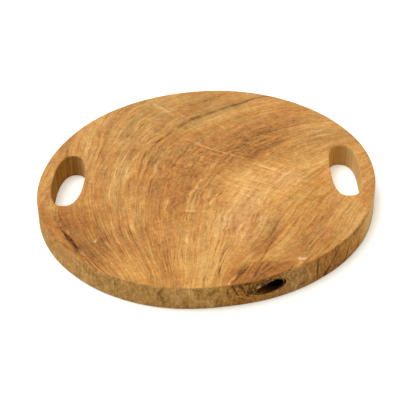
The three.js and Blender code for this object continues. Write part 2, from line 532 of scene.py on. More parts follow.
rough = bmesh.new()
rough.from_mesh(knot.data)
rough.normal_update()
outward = polar(KNOT_BEARING, 1.0)
moves = []
for vert in rough.verts:
    inside = -(vert.co - mouth_point).dot(outward) / SMOOTH_MOUTH
    amount = min(max(inside, 0.0), 1.0) * ROT_RELIEF
    moves.append(vert.normal * amount * (2 * uneven(vert.co / ROT_GRAIN) - 1))
for vert, move in zip(rough.verts, moves):
    vert.co += move
rough.to_mesh(knot.data)
rough.free()
deepest = max(-(vert.co - mouth_point).dot(outward) for vert in knot.data.vertices)
print("knot reaches", round(deepest / MM, 1), "mm in from the rim")

# %% [markdown]
# ## Slivers of bark
# Bark is corky and cracked along its length. Each sliver is its outline extruded to its depth, remeshed
# into small even faces, and roughened on top by noise that is stretched along the sliver. It lies slightly
# below the wood round it, as dried bark does.

# %% Bark slivers
BARK_SINK = 0.06 * MM
BARK_VOXEL = 0.2 * MM
BARK_RELIEF = 0.25 * MM
CRACK_LENGTH = 4 * MM
CRACK_WIDTH = 0.7 * MM


def bark_sliver(bark):
    shape = bmesh.new()
    top_height = thickness - BARK_SINK
    foot, head = bark_wall(shape, bark, 0.0, (thickness - bark["depth"], top_height))
    close(shape, foot, head)
    sliver = piece_from(shape, bark["node"] + "_dressed")
    even_faces(sliver, BARK_VOXEL)
    turn_back = along_bark(bark).transposed()
    for vert in sliver.data.vertices:
        if vert.co.z > top_height - BARK_VOXEL:
            spot = turn_back @ vert.co
            vert.co.z -= BARK_RELIEF * uneven(Vector((spot.x / CRACK_LENGTH, spot.y / CRACK_WIDTH, 0.0)))
    return sliver


pocket_bark = bark_sliver(BARK_POCKET)
seam_bark = bark_sliver(FRONT_BARK_SEAM)
print("bark", len(pocket_bark.data.polygons), "and", len(seam_bark.data.polygons), "faces")

# %% [markdown]
# ## The run of the grain
# The board was cut where the trunk forks. At the front the fibres run straight back. The left ones sweep on
# to the back and bend right, and the right ones lean off to the right. A shader has no fibres to follow, so
# it needs one smooth number that stays the same along every fibre and grows across them. Below are strokes
# drawn along the fibres: a place and a heading. The smooth number is the polynomial whose level
# lines follow the strokes best, and least squares finds it.

# %% Grain strokes
GRAIN_STROKES = (  # x and y in mm, heading in degrees from +X
    (-45, -150, 102), (0, -150, 88), (35, -150, 60),
    (-90, -115, 110), (-30, -115, 92), (40, -110, 64), (90, -115, 58),
    (-105, -75, 112), (-55, -75, 100), (0, -70, 80), (60, -75, 60), (125, -75, 62),
    (-95, -30, 100), (-45, -35, 85), (10, -30, 70), (100, -30, 52),
    (-105, 25, 95), (-65, 25, 80), (-20, 10, 68), (50, 15, 48), (105, 20, 42),
    (-115, 65, 95), (-75, 70, 72), (-35, 75, 54), (40, 65, 45), (95, 65, 30), (140, 60, 22),
    (-100, 110, 72), (-50, 110, 58), (0, 115, 40), (60, 115, 30), (110, 105, 18),
    (-50, 150, 32), (30, 150, 25),
    (-150, -80, 115), (-135, -105, 128), (-112, -128, 136),
)
PLAIN_FIBRE = ((-76, 8), (-67, 40), (-45, 81), (-10, 118), (30, 143), (66, 161))  # places along one dark vein
PLAIN_WEIGHT = 8.0  # how much that vein counts
GRAIN_DEGREE = 5
REACH = 175.0  # mm, so that places on the board run from -1 to 1
ACROSS_WEIGHT = 0.35  # how much an even spacing counts beside the right heading
CALM_WEIGHT = 0.003  # keeps the high powers small
POWERS = [(i, j) for i in range(GRAIN_DEGREE + 1) for j in range(GRAIN_DEGREE + 1 - i) if i + j > 0]


def terms(u, v):
    return np.array([u**i * v**j for i, j in POWERS])


rows = []
wanted = []
for x, y, heading in GRAIN_STROKES:
    u = x / REACH
    v = y / REACH
    slope_x = np.array([i * u ** max(i - 1, 0) * v**j for i, j in POWERS])
    slope_y = np.array([j * u**i * v ** max(j - 1, 0) for i, j in POWERS])
    angle = math.radians(heading)
    rows.append(slope_x * math.cos(angle) + slope_y * math.sin(angle))
    wanted.append(0.0)
    rows.append(ACROSS_WEIGHT * (slope_x * math.sin(angle) - slope_y * math.cos(angle)))
    wanted.append(ACROSS_WEIGHT)
first_place, *other_places = np.array(PLAIN_FIBRE) / REACH
for other_place in other_places:
    rows.append(PLAIN_WEIGHT * (terms(*other_place) - terms(*first_place)))
    wanted.append(0.0)
for number, (i, j) in enumerate(POWERS):
    if i + j > 1:
        rows.append(np.eye(len(POWERS))[number] * CALM_WEIGHT * (i + j) ** 2)
        wanted.append(0.0)
solved = np.linalg.lstsq(np.array(rows), np.array(wanted), rcond=None)[0]
grain = dict(zip(POWERS, solved.tolist()))


def grain_at(x, y):
    return REACH * float(solved @ terms(x / REACH, y / REACH))


print("grain runs from", round(grain_at(-150, 60)), "to", round(grain_at(150, -60)), "mm across the fibres")

# %% [markdown]
# ## Teak: where on the wood
# Teak is an oily golden-brown wood, here sanded fine and lightly oiled, so it has a low sheen and fine dark
# pores. The material starts from the place on the slab in millimetres. The fibres lean as they go down, so
# deeper places are shifted sideways, and three layers of noise make every line a little unsteady.

# %% Place and wander
GRAIN_LEAN = (0.45, 0.1, 0.0)  # mm sideways for each mm down
WANDERS = ((48.0, 9.0), (14.0, 1.8), (4.5, 0.5))  # mm from bend to bend, and how far the bends reach


def material_in_mm(name):
    material = bpy.data.materials.new(name)
    tree = empty_tree(material)
    metres = add(tree, "TexCoord", output="Object")
    return material, tree, add(tree, "VectorMath", (metres, (1 / MM,) * 3), operation="MULTIPLY")


def bent(tree, vector, place, size, reach, detail=1.0):
    bends = add(tree, "TexNoise", {"Vector": place, "Scale": 1 / size, "Detail": detail}, output="Color")
    bends = add(tree, "VectorMath", (bends, (0.5,) * 3), operation="SUBTRACT")
    return add(tree, "VectorMath", (bends, reach, vector), operation="MULTIPLY_ADD")


teak, tree, place = material_in_mm("teak_sanded_and_oiled")
height = add(tree, "SeparateXYZ", (place,), output="Z")
down = add(tree, "Math", (thickness / MM, height), operation="SUBTRACT")
leaned = add(tree, "VectorMath", (down, GRAIN_LEAN, place), operation="MULTIPLY_ADD")
for size, reach in WANDERS:
    leaned = bent(tree, leaned, place, size, (reach, reach, 0.0))
print("place and wander:", len(tree.nodes), "nodes")

# %% Soft patches
# A soft patch is 1 at its middle and fades evenly to nothing, in a long or round shape. It is about a half
# at its reach. With two reaches it goes right through the board. A narrow border makes it flat inside with
# a crisp outline, and a tilt stands it up on the side. A weighted sum then lays patches and noises on top
# of each other.
FADE_END = 1.9  # times the reach, where a patch has faded away
THROUGH = 1000.0  # mm, far more than the board is thick


def soft_patch(tree, vector, middle, heading, reach, tilt=0.0, border=1.0):
    shape = {
        "Vector": vector,
        "Location": (*middle, 0.0)[:3],
        "Rotation": (math.radians(tilt), 0.0, math.radians(heading)),
        "Scale": [FADE_END * size for size in (*reach, THROUGH)[:3]],
    }
    local = add(tree, "Mapping", shape, vector_type="TEXTURE")
    nearness = add(tree, "TexGradient", (local,), output="Fac", gradient_type="SPHERICAL")
    at_reach = 1 - 1 / FADE_END
    fade = (nearness, at_reach - border / 2, at_reach + border / 2)
    return add(tree, "MapRange", fade, interpolation_type="SMOOTHSTEP")


def weighted(tree, total, *parts, clamp=False):
    for part, weight in parts:
        total = add(tree, "Math", (part, weight, total), operation="MULTIPLY_ADD", use_clamp=clamp)
    return total


def total_of(tree, vector, patches, start=0.0, level=0.0, depth=THROUGH):
    total = start
    for x, y, heading, long_reach, short_reach, amount in patches:
        patch = soft_patch(tree, vector, (x, y, level), heading, (long_reach, short_reach, depth))
        total = weighted(tree, total, (patch, amount))
    return total


print("soft patches ready")

# %% [markdown]
# ## Teak: across the fibres
# In the fork itself, at the middle of the board, the fibres curl, so a patch of it gets one more, wilder
# layer. The polynomial is worked out in the shader by Horner's rule, one multiply-and-add for each of its
# terms. Round the knot the tree laid its fibres in rings, so a soft lump is added there: where it is steep,
# the level lines close round it.

# %% Fibre number
CURLY_PART = ((2.0, -18.0), 70.0, (75.0, 55.0))  # middle in mm, heading in degrees, reach along and across
CURL_SIZE = 16.0
CURL_REACH = 14.0
KNOT_SWIRL = 26.0  # mm of fibres that close round the knot
KNOT_SWIRL_REACH = (30.0, 34.0, 15.0)  # inwards, along the rim and up

curly = soft_patch(tree, place, *CURLY_PART)
wild = add(tree, "VectorMath", (curly, (CURL_REACH, CURL_REACH, 0.0)), operation="MULTIPLY")
leaned = bent(tree, leaned, place, CURL_SIZE, wild, detail=2.0)

scaled = add(tree, "VectorMath", (leaned, (1 / REACH,) * 3), operation="MULTIPLY")
u_place, v_place = [add(tree, "SeparateXYZ", (scaled,), output=axis) for axis in "XY"]
fibre = 0.0
for i in reversed(range(GRAIN_DEGREE + 1)):
    column = 0.0
    for j in reversed(range(GRAIN_DEGREE + 1 - i)):
        step = (column, v_place, grain.get((i, j), 0.0))
        column = add(tree, "Math", step, operation="MULTIPLY_ADD")
    fibre = add(tree, "Math", (fibre, u_place, column), operation="MULTIPLY_ADD")
fibre = add(tree, "Math", (fibre, REACH), operation="MULTIPLY")

knot_middle = mouth_point / MM
knot_middle.z = (thickness / 2 + KNOT_LIFT) / MM
swirl = soft_patch(tree, place, knot_middle, math.degrees(KNOT_BEARING), KNOT_SWIRL_REACH)
fibre = weighted(tree, fibre, (swirl, KNOT_SWIRL))
print("fibre number:", len(tree.nodes), "nodes")

# %% [markdown]
# ## Teak: streaks and pores
# Growth bands, streaks and pores are all long along the fibres and narrow across them. One noise gives them
# all when it is fed the fibre number, squeezed, beside the place, stretched. The pores of teak are a third
# of a millimetre wide, which is too fine to show in the picture, so they are drawn about a millimetre wide.

# %% Streaks
STREAKS = (  # width across and length along the fibres in mm, and strength
    (17, 220, 0.4), (6, 110, 0.45), (2.6, 45, 0.75), (1.5, 20, 0.75),
)
FINE_STREAK = 4.0  # mm, and narrower streaks show best where the lines do
FINE_SHARE = (0.6, 0.4)  # how strong they are for each unit of lines, and without any
PATCHY_SIZE = 24.0
PATCHY_RANGE = (0.36, 0.64, 0.35, 1.6)  # from and to in the noise, and the strength there
LINED_AREAS = (  # where the lines show: x, y in mm, heading in degrees, reach along and across in mm, amount
    (-95, 10, 92, 130, 36, 0.75), (-20, -125, 95, 50, 60, 0.6), (105, -60, 60, 65, 28, 0.35),
    (95, 95, 25, 60, 25, 0.3), (-125, -115, 130, 36, 12, 0.4),
)
PLAIN_LINES = 0.12
FLECKS = (2.4, 9.0, 1.0)  # width, length and strength of the short strokes in the fork
FLECKED_AREAS = (
    (48, 64, 45, 42, 20, 0.9), (-22, 38, 30, 42, 26, 0.8), (-12, -30, 75, 40, 26, 0.9),
    (50, -62, 60, 40, 24, 0.7), (-60, 75, 60, 40, 20, 0.5),
)
MOTTLE = ((10.0, 0.35), (4.0, 0.35), (2.0, 0.30))  # size in mm and strength of the cloudy unevenness


def stretched_noise(tree, vector, size, detail=2.0):
    shrink = (np.ones(3) / size).tolist()
    squeezed = add(tree, "VectorMath", (vector, shrink), operation="MULTIPLY")
    return add(tree, "TexNoise", {"Vector": squeezed, "Scale": 1.0, "Detail": detail})


def ripple(tree, vector, size, detail=2.0, share=1.0):
    rise = add(tree, "Math", (stretched_noise(tree, vector, size, detail), 0.5), operation="SUBTRACT")
    return add(tree, "Math", (rise, share), operation="MULTIPLY")


sideways, backwards = [add(tree, "SeparateXYZ", (leaned,), output=axis) for axis in "XY"]
sunk_x = add(tree, "Math", (sideways, height), operation="ADD")
sunk_y = add(tree, "Math", (backwards, height), operation="SUBTRACT")
along = add(tree, "CombineXYZ", (fibre, sunk_x, sunk_y))
lined = total_of(tree, place, LINED_AREAS, PLAIN_LINES)
fineness = add(tree, "Math", (lined, *FINE_SHARE), operation="MULTIPLY_ADD")
patchy = add(tree, "MapRange", (stretched_noise(tree, place, PATCHY_SIZE), *PATCHY_RANGE))
fineness = add(tree, "Math", (fineness, patchy), operation="MULTIPLY")
flecked = total_of(tree, place, FLECKED_AREAS)

streak = 0.0
for width, length, strength in STREAKS:
    share = fineness if width < FINE_STREAK else 1.0
    streak = weighted(tree, streak, (ripple(tree, along, (width, length, length), share=share), strength))
width, length, strength = FLECKS
streak = weighted(tree, streak, (ripple(tree, along, (width, length, length), share=flecked), strength))
for size, strength in MOTTLE:
    streak = weighted(tree, streak, (ripple(tree, place, size), strength))
print("streaks:", len(tree.nodes), "nodes")

# %% Ring lines
# Each year's growth darkens slowly and stops at a sharp line, like the teeth of a saw.
RING_WIDTH = 5.4
RING_NOISE = (26.0, 150.0, 150.0)  # mm across and along the fibres
RING_UNEVEN = 2.2  # how far that noise shifts the lines, in rings
RING_SHARPNESS = 3.0
RING_FADE_SIZE = 30.0
RING_FADE = (0.4, 0.62)  # where in the fading noise the lines start to show, and where they are full

ring = add(tree, "Math", (fibre, 1 / RING_WIDTH), operation="MULTIPLY")
ring = weighted(tree, ring, (stretched_noise(tree, along, RING_NOISE, detail=1.0), RING_UNEVEN))
ring = add(tree, "Math", (ring,), operation="FRACT")
ring = add(tree, "Math", (ring, RING_SHARPNESS), operation="POWER")
fade = add(tree, "MapRange", (stretched_noise(tree, place, RING_FADE_SIZE), *RING_FADE))
for share in (fade, lined):
    ring = add(tree, "Math", (ring, share), operation="MULTIPLY")
print("ring lines:", len(tree.nodes), "nodes")

# %% Hairlines and pores
# Where the lines show, some are as thin as a hair and dark or pale all along. The pores are everywhere.
HAIR_SIZE = (1.3, 60.0, 60.0)
DARK_HAIR = (0.60, 0.70)  # where in the noise a line starts to show, and where it is full
PALE_HAIR = (0.40, 0.30)
PORE_SIZE = (1.0, 9.0, 9.0)
PORE_RANGE = (0.60, 0.72)

hair = stretched_noise(tree, along, HAIR_SIZE, detail=1.0)
dark_hair = add(tree, "MapRange", (hair, *DARK_HAIR))
pale_hair = add(tree, "MapRange", (hair, *PALE_HAIR))
hair = add(tree, "Math", (pale_hair, dark_hair), operation="SUBTRACT")
hair = add(tree, "Math", (hair, lined), operation="MULTIPLY")
pore = add(tree, "MapRange", (stretched_noise(tree, along, PORE_SIZE, detail=1.0), *PORE_RANGE))
print("hairlines and pores:", len(tree.nodes), "nodes")

# %% [markdown]
# ## Teak: light and dark areas
# Heartwood is brown, younger wood golden, and the wood round old wounds is dark and reddish. Those areas
# have no rule, so they are given one by one as soft patches, in the warped place so that their borders wander
# too. A tone of 0 is the darkest brown and 1 the palest gold.

# %% Patches of tone
PLAIN_TONE = 0.59
RING_TONE = -0.34
PORE_TONE = -0.20
HAIR_TONE = 0.22
TONE_PATCHES = (  # x, y in mm, heading in degrees, reach along and across in mm, amount
    (60, 2, 32, 72, 31, 0.2), (60, -42, 30, 50, 26, 0.08), (8, -112, 96, 52, 26, 0.16),
    (-4, -155, 95, 22, 16, 0.08), (146, -66, 62, 34, 16, 0.14), (-120, 48, 85, 60, 17, 0.14),
    (-102, 98, 75, 36, 14, -0.02), (14, 116, 35, 26, 8, 0.05), (68, 145, 30, 40, 10, 0.08),
    (-82, -142, 130, 24, 12, 0.13), (-90, 0, 95, 50, 12, 0.04), (-52, 148, 130, 22, 12, 0.07),
    (54, 72, 42, 46, 26, -0.27), (35, 48, 40, 30, 14, -0.06), (-58, -25, 95, 40, 10, -0.08),
    (-15, 3, 80, 30, 10, -0.13), (-36, -10, 80, 60, 36, -0.06), (-15, -32, 85, 45, 24, -0.15),
    (-14, 62, 55, 42, 22, -0.09), (-141, -74, 10, 32, 14, -0.15), (-128, -102, 130, 44, 20, -0.18),
    (-100, -106, 100, 14, 9, -0.1), (-78, -112, 100, 24, 16, -0.09), (45, -158, 10, 34, 14, -0.14),
    (26, -151, 62, 15, 6, -0.15), (70, -148, 30, 22, 10, -0.06), (62, -106, 65, 24, 7, -0.14),
    (112, -90, 62, 42, 14, -0.2), (15, 143, 22, 48, 12, -0.14), (-25, 122, 45, 16, 10, -0.08),
    (95, 136, 30, 22, 14, -0.04), (-105, -118, 130, 30, 22, -0.1), (54, 30, 35, 28, 12, -0.11),
    (106, -8, 45, 26, 18, -0.09), (-74, -12, 95, 50, 11, 0.1), (-115, 47, 80, 10, 5, -0.12),
    (-77, 51, 60, 14, 8, -0.1), (-50, 103, 62, 22, 9, -0.11), (88, 110, 25, 30, 10, 0.03),
    (82, -70, 60, 26, 12, 0.05), (-48, 128, 60, 22, 13, 0.07), (36, 124, 30, 30, 9, -0.05),
    (-112, 75, 90, 30, 16, 0.05), (78, -100, 60, 20, 10, -0.06), (54, -122, 60, 18, 12, -0.05),
    (125, -50, 60, 30, 13, 0.04),
)

tone = total_of(tree, leaned, TONE_PATCHES, PLAIN_TONE)
tone = weighted(tree, tone, (streak, 1.0), (ring, RING_TONE), (pore, PORE_TONE), (hair, HAIR_TONE))
print("tone:", len(tree.nodes), "nodes")

# %% Patches of olive
PLAIN_OLIVE = 0.27
OLIVE_PATCHES = (
    (-92, 82, 80, 85, 42, 0.3), (-84, 60, 85, 30, 10, 0.29), (0, 118, 38, 45, 9, 0.41),
    (-55, 140, 130, 30, 9, 0.37), (150, 80, 45, 50, 25, 0.25), (60, 0, 32, 70, 30, 0.08),
    (0, -120, 95, 60, 20, 0.12), (142, -70, 62, 40, 18, 0.2), (60, -80, 62, 40, 10, 0.2),
    (0, 150, 22, 90, 26, 0.33), (105, 105, 25, 55, 40, 0.15), (-85, -40, 100, 50, 16, 0.16),
    (10, 66, 45, 55, 28, 0.07), (-60, -105, 105, 50, 60, 0.05), (-143, -74, 10, 32, 14, -0.18),
    (75, -105, 60, 50, 40, 0.05), (27, -151, 62, 18, 8, -0.25),
)
BLUSH_SIZE = (4.0, 40.0, 40.0)  # streaks that are more olive or redder than the rest, in mm
BLUSH = 2.0

olive = total_of(tree, leaned, OLIVE_PATCHES, PLAIN_OLIVE)
olive = weighted(tree, olive, (ripple(tree, along, BLUSH_SIZE, detail=3.0), BLUSH), clamp=True)
print("olive:", len(tree.nodes), "nodes")

# %% Dark veins
# A vein is the line of one fibre, darkened where a soft patch says so. Inside the longest vein the wood is
# a little darker than outside it.
VEINS = (  # x, y in mm of a place on the vein, heading, reach along, width and amount
    (2, 126, 38, 40, 1.7, -0.42), (54, 155, 28, 26, 1.6, -0.3), (-45, 81, 55, 38, 1.3, -0.45),
    (-68, 36, 76, 30, 1.4, -0.22), (64, -90, 65, 24, 1.4, -0.3), (52, -152, 60, 22, 1.1, -0.2),
    (66, -148, 62, 16, 1, -0.14), (18, -138, 82, 24, 1.1, -0.3),
)
VEIN_STRAY = 18.0  # mm, how far a vein may stray from the line of its patch
BROKEN_SIZE = 8.0
BROKEN_RANGE = (0.34, 0.56)  # where in the noise a vein starts to show, and where it is full
INNER_PART = ((-25.0, 82.0), 52.0, (70.0, 34.0))  # middle, heading and reach
INNER_EDGE = (-1.0, 4.0)  # mm across the vein, from where it darkens to where it is full
INNER_TONE = -0.07

broken = add(tree, "MapRange", (stretched_noise(tree, place, BROKEN_SIZE), *BROKEN_RANGE))
for x, y, heading, reach, width, amount in VEINS:
    away = add(tree, "Math", (fibre, grain_at(x, y)), operation="SUBTRACT")
    away = add(tree, "Math", (away, 1 / width), operation="MULTIPLY")
    away = add(tree, "Math", (away, away), operation="MULTIPLY")
    line = add(tree, "Math", (math.exp(-1), away), operation="POWER")
    for share in (soft_patch(tree, leaned, (x, y), heading, (reach, VEIN_STRAY)), broken):
        line = add(tree, "Math", (line, share), operation="MULTIPLY")
    tone = weighted(tree, tone, (line, amount))

inner = add(tree, "Math", (fibre, grain_at(*PLAIN_FIBRE[2])), operation="SUBTRACT")
inner = add(tree, "MapRange", (inner, *INNER_EDGE))
inner = add(tree, "Math", (inner, soft_patch(tree, leaned, *INNER_PART)), operation="MULTIPLY")
tone = weighted(tree, tone, (inner, INNER_TONE))
print("veins:", len(tree.nodes), "nodes")

# %% Saw marks and curls
# Pale scuffs that a saw left across the grain, and short strokes where the curled fibres catch the light.
# Both are on the top face only, and broken like the veins.
SAW_MARKS = (  # x, y in mm, heading, reach along and across, amount
    (-44, 127, -46, 36, 2.4, 0.2), (-40, 131, -46, 34, 1.8, 0.13), (-42, 129, -46, 36, 0.9, -0.09),
    (12, 101, -46, 14, 1.2, 0.16), (-28, 146, -48, 9, 1.2, 0.14), (-14, 66, -36, 17, 1.4, 0.34),
    (16, 47, -26, 26, 1.2, 0.28), (16, 44.5, -26, 30, 1, -0.14), (62, 19, -30, 28, 1.3, 0.24),
    (58, 18, -30, 28, 1, -0.14), (21, -10, -43, 9, 1.5, 0.14), (38, -29, -37, 13, 1.3, 0.12),
    (38, -17, -24, 19, 1.3, 0.14), (-39, -31, -7, 8, 1.2, 0.2), (-16, -57, 0, 12, 1.2, 0.18),
    (-17, -61, -3, 10, 1.2, -0.18), (64, 43, 43, 22, 1.8, 0.16), (60, 50, 43, 24, 3.5, -0.13),
    (8, -108, 5, 9, 1.2, 0.14), (6, -117, -16, 9, 1.2, -0.12),
)
CURLS = (
    (-10, -11, 74, 8, 1.2, 0.3), (-14, -22, 60, 7, 1.2, 0.3), (-19, -35, 80, 9, 1.2, 0.28),
    (9, -32, 67, 9, 1.2, 0.34), (3, -42, 68, 8, 1.2, 0.28), (-6, -14, 74, 8, 1.4, -0.18),
    (6, -28, 67, 9, 1.4, -0.2), (-15, -36, 80, 8, 1.4, -0.16), (-11, -31, 90, 9, 3.5, -0.18),
    (-29, -47, 88, 9, 5, -0.14), (-21, 18, 32, 8, 1.3, -0.16), (-9, 21, -10, 7, 1.3, -0.16),
    (-15, 24, 15, 12, 1.5, 0.12), (-60, -23, 92, 7, 2, -0.18), (-60, -40, 97, 7, 2, -0.16),
    (-54, -16, 85, 9, 1.3, 0.12), (33, -102, 80, 10, 1.4, 0.14), (-109.5, -105.5, 75, 2.6, 1.2, 0.55),
    (-102, -103, 75, 6, 4, -0.22), (89, -132, 15, 4.5, 1.8, 0.7), (47, -150, 66, 11, 0.9, -0.36),
    (54, -127, 66, 12, 0.9, -0.36), (60, -112, 66, 10, 1.1, -0.35), (57, -141, 56, 9, 0.9, -0.3),
    (80, -144, 62, 9, 1, -0.3), (85, -144, 58, 10, 2, 0.26), (96, -133, 55, 7, 1, -0.35),
    (11, -148, 88, 13, 0.9, -0.5), (14, -128, 75, 8, 0.9, -0.4), (19, -117, 62, 7, 0.9, -0.35),
    (21, -116, 62, 8, 1, 0.22), (23, -163, 60, 6, 1.3, 0.75), (31, -149, 60, 13, 3, -0.16),
    (-143, -104, -57, 13, 0.9, -0.4), (-139, -110, -56, 12, 0.9, 0.28), (-146, -100, -58, 13, 0.9, 0.25),
    (-136, -116, -52, 10, 0.9, -0.4), (-133, -121, -50, 8, 0.9, 0.25), (-145, -87, -66, 6, 1.2, -0.08),
    (-149, -73, -72, 10, 1.6, 0.2), (-138, -91, -70, 3.5, 1.6, 0.4), (-119, -123, -65, 3.5, 1.6, 0.4),
    (-128, -119, -50, 5, 2, -0.35), (-134, -107, -57, 13, 3.5, -0.22),
)
MARK_DEPTH = 3.0

marks = total_of(tree, place, SAW_MARKS + CURLS, level=thickness / MM, depth=MARK_DEPTH)
tone = add(tree, "Math", (marks, broken, tone), operation="MULTIPLY_ADD")
print("marks:", len(tree.nodes), "nodes")

# %% Scratches
# Finer saw scratches lie side by side across the golden part, all in one direction.
SCRATCH_HEADING = math.radians(-26)
SCRATCH_SIZE = (36.0, 2.0, THROUGH)  # length, width and depth in mm
SCRATCHED_PART = ((52.0, 8.0), -25.0, (70.0, 46.0))
SCRATCH_TONE = 0.85

rotation = {"Vector": place, "Rotation": (0.0, 0.0, SCRATCH_HEADING)}
turned = add(tree, "Mapping", rotation, vector_type="TEXTURE")
scratched = soft_patch(tree, place, *SCRATCHED_PART)
tone = weighted(tree, tone, (ripple(tree, turned, SCRATCH_SIZE, share=scratched), SCRATCH_TONE))
print("scratches:", len(tree.nodes), "nodes")

# %% Reddish facet
# Above the knot the cut runs through reddish wood, which ends at an almost straight line behind and along
# the bark seam on the left. The top slopes a little there, and the shade of that slope is painted in as a
# darker tone. Each border is the distance from a line, and the facet is where both are passed. A pale
# wedge at its right end is left out.
FACET_CORNER = (38.0, -136.5, 0.0)
FACET_BORDERS = (  # direction into the facet, how ragged the border is, and from where to where it fades in
    ((0.03, -1.0, 0.0), 3.0, -0.8, 1.0),
    ((0.87, -0.49, 0.0), 4.0, -2.5, 2.0),
)
FACET_RAGGED_SIZE = 7.0
PALE_WEDGE = ((92.0, -142.0), 40.0, (18.0, 7.0))
WEDGE_SHARE = -0.9
FACET_SHADE_TONE = -0.19
FACET_OLIVE = -0.20

ragged_edge = ripple(tree, place, FACET_RAGGED_SIZE)
from_corner = add(tree, "VectorMath", (place, FACET_CORNER), operation="SUBTRACT")
facet = 1.0
for inwards, ragged, start, full in FACET_BORDERS:
    passed = add(tree, "VectorMath", (from_corner, inwards), output="Value", operation="DOT_PRODUCT")
    passed = weighted(tree, passed, (ragged_edge, ragged))
    shown = add(tree, "MapRange", (passed, start, full))
    facet = add(tree, "Math", (shown, facet), operation="MULTIPLY")
facet = weighted(tree, facet, (soft_patch(tree, place, *PALE_WEDGE), WEDGE_SHARE), clamp=True)
# the facet's darker tone is painted shade of its slope, and its olive share makes it redder
tone = weighted(tree, tone, (facet, FACET_SHADE_TONE))
olive = weighted(tree, olive, (facet, FACET_OLIVE), clamp=True)
print("facet:", len(tree.nodes), "nodes")

# %% [markdown]
# ## Teak: the sides
# On the sides the fibres are cut across, so the streaks of the top give way to a finer, speckled end grain
# that soaks up more oil. It is more olive, and paler or darker in places of its own, and paler where light
# is painted onto the left front side and the right wall of the left slot. The walls of the slots are calmer,
# with upright bands that the saw left. The normal tells the sides from the flat faces.

# %% Knot rings
# Rings round the heart of the knot, squashed as the knot is. They are for the wood round the knot here, and
# for the knot itself later.
KNOT_RING = 3.4  # mm from ring to ring
KNOT_SQUASH = 0.45
KNOT_BEND_SIZE = 6.0
KNOT_BENDS = (4.0, 4.0, 7.0)  # mm, how far the rings stray
NEAR_KNOT = (20.0, 31.0, 15.0)  # mm, reach inwards, along the rim and up
NEAR_KNOT_BORDER = 0.5


def knot_rings(tree, place):
    squash = {
        "Vector": place,
        "Location": knot_middle,
        "Rotation": (0.0, 0.0, KNOT_BEARING),
        "Scale": (1.0, 1.0, KNOT_SQUASH),
    }
    local = add(tree, "Mapping", squash, vector_type="TEXTURE")
    wavy = bent(tree, local, place, KNOT_BEND_SIZE, KNOT_BENDS, detail=3.0)
    flat = add(tree, "VectorMath", (wavy, (0.0, 1.0, 1.0)), operation="MULTIPLY")
    distance = add(tree, "VectorMath", (flat,), output="Value", operation="LENGTH")
    ring = add(tree, "Math", (distance, 2 * math.pi / KNOT_RING), operation="MULTIPLY")
    return local, add(tree, "Math", (ring,), operation="SINE")


_, round_knot = knot_rings(tree, place)
knot_heading = math.degrees(KNOT_BEARING)
near_knot = soft_patch(tree, place, knot_middle, knot_heading, NEAR_KNOT, border=NEAR_KNOT_BORDER)
round_knot = add(tree, "Math", (round_knot, near_knot), operation="MULTIPLY")
print("knot rings:", len(tree.nodes), "nodes")

# %% End grain
SIDE_NORMAL = (0.85, 0.45)  # upward part of the normal, where the side starts and where it is full
PLAIN_SIDE = 0.52
SIDE_SHARE = 0.8  # how far the side's own tone covers that of the streaks
SIDE_PATCHES = (  # x, y in mm, heading, reach along and across, amount
    # The first patch paints the left front side paler, standing in for light from the left; the one at (-131,
    # 22) paints light onto the right wall of the left slot, which the lamp hardly reaches.
    (-150, -95, 130, 60, 40, 0.12), (114, -124, 45, 34, 40, -0.2), (168, -58, 65, 42, 30, 0.3),
    (173, -38, 78, 26, 20, 0.55), (86, -152, 25, 15, 20, 0.12), (34, -168, 10, 10, 20, -0.16),
    (-152, 0, 90, 50, 16, -0.14), (-131, 22, 72, 26, 11, 0.6), (140, 50, 20, 22, 16, 0.38),
    (162, 15, 90, 50, 8, 0.45),
)
SIDE_SPECKS = (  # width and height in mm, and strength
    (1.7, 2.6, 0.95), (2.6, 14, 0.55), (3.6, 5, 0.85), (9, 12, 0.55),
)
SLOT_PARTS = (((-146.0, -4.0), 90.0, (62.0, 24.0)), ((146.0, 15.0), 90.0, (62.0, 24.0)))
SLOT_BORDER = 0.3
SLOT_CALM = 0.8  # how much smoother the walls of the slots are
SAWN_SIZE = (3.0, 3.0, 120.0)  # mm across and up
SAWN_BANDS = 0.8  # strength of the upright bands that the saw left in the slots
KNOT_RING_TONE = 0.16
NEAR_KNOT_TONE = -0.10

upright = add(tree, "TexCoord", output="Normal")
flatness = add(tree, "SeparateXYZ", (upright,), output="Z")
flatness = add(tree, "Math", (flatness,), operation="ABSOLUTE")
on_side = add(tree, "MapRange", (flatness, *SIDE_NORMAL))
side_tone = total_of(tree, place, SIDE_PATCHES, PLAIN_SIDE)
in_slot = 0.0
for part in SLOT_PARTS:
    in_slot = weighted(tree, in_slot, (soft_patch(tree, place, *part, border=SLOT_BORDER), 1.0))
speckled = weighted(tree, 1.0, (in_slot, -SLOT_CALM))
for width, tall, strength in SIDE_SPECKS:
    specks = ripple(tree, place, (width, width, tall), share=speckled)
    side_tone = weighted(tree, side_tone, (specks, strength))
sawn_bands = ripple(tree, place, SAWN_SIZE, detail=1.0, share=in_slot)
side_tone = weighted(tree, side_tone, (sawn_bands, SAWN_BANDS))
side_tone = weighted(tree, side_tone, (round_knot, KNOT_RING_TONE), (near_knot, NEAR_KNOT_TONE))
covered = add(tree, "Math", (on_side, SIDE_SHARE), operation="MULTIPLY")
tone = add(tree, "Mix", {0: covered, 2: tone, 3: side_tone}, data_type="FLOAT")
print("end grain:", len(tree.nodes), "nodes")

